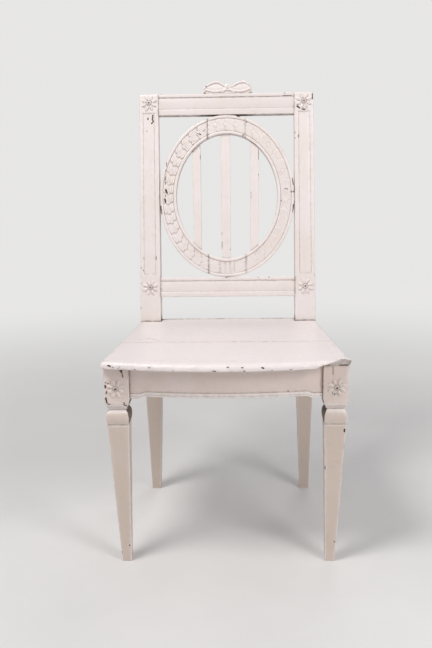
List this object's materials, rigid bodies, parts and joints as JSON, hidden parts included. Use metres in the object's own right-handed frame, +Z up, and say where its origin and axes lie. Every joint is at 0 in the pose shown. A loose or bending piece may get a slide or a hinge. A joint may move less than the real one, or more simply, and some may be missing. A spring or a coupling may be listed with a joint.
{
  "type": "side chair",
  "caption": "Painted wooden side chair with square tapered legs, a bowed plank seat and a raked back that holds a carved oval ring with upright bars.",
  "frame": {"origin": "on the floor, under the middle of the chair's outline", "axes": "+Z up, the chair faces -Y, +X to the viewer's right when the chair is seen from its front"},
  "size_m": [0.4769, 0.4914, 0.9647],
  "materials": {
    "painted_wood": "old warm white oil paint, satin, chipped to dark brown, dirt in the carving",
    "bare_wood": "raw, aged brown"
  },
  "bodies": {
    "root": {"rear_post_left": "painted_wood", "rear_post_right": "painted_wood", "front_leg_left": "painted_wood", "front_leg_right": "painted_wood", "crest_rail": "painted_wood", "crest_bow": "painted_wood", "lower_back_rail": "painted_wood", "medallion_top": "painted_wood", "medallion_bottom": "painted_wood", "medallion_left": "painted_wood", "medallion_right": "painted_wood", "splat_left": "painted_wood", "splat_middle": "painted_wood", "splat_right": "painted_wood", "seat_plank_front": "painted_wood", "seat_plank_rear": "painted_wood", "front_rail": "painted_wood", "side_rail_left": "painted_wood", "side_rail_right": "painted_wood", "rear_seat_rail": "painted_wood", "corner_block_front_left": "bare_wood", "corner_block_front_right": "bare_wood", "corner_block_rear_left": "bare_wood", "corner_block_rear_right": "bare_wood", "dowel_bow_left": "bare_wood", "dowel_bow_right": "bare_wood", "dowel_joint_bottom_left": "bare_wood", "dowel_joint_bottom_right": "bare_wood", "dowel_joint_top_left": "bare_wood", "dowel_joint_top_right": "bare_wood", "dowel_medallion_bottom": "bare_wood", "dowel_medallion_left": "bare_wood", "dowel_medallion_right": "bare_wood", "dowel_medallion_top": "bare_wood", "peg_crest_rail_left": "bare_wood", "peg_crest_rail_right": "bare_wood", "peg_lower_back_rail_left": "bare_wood", "peg_lower_back_rail_right": "bare_wood", "peg_front_rail_left": "bare_wood", "peg_front_rail_right": "bare_wood", "peg_rear_rail_left": "bare_wood", "peg_rear_rail_right": "bare_wood", "peg_side_rail_front_left": "bare_wood", "peg_side_rail_front_right": "bare_wood", "peg_side_rail_rear_left": "bare_wood", "peg_side_rail_rear_right": "bare_wood"}
  },
  "joints": []
}
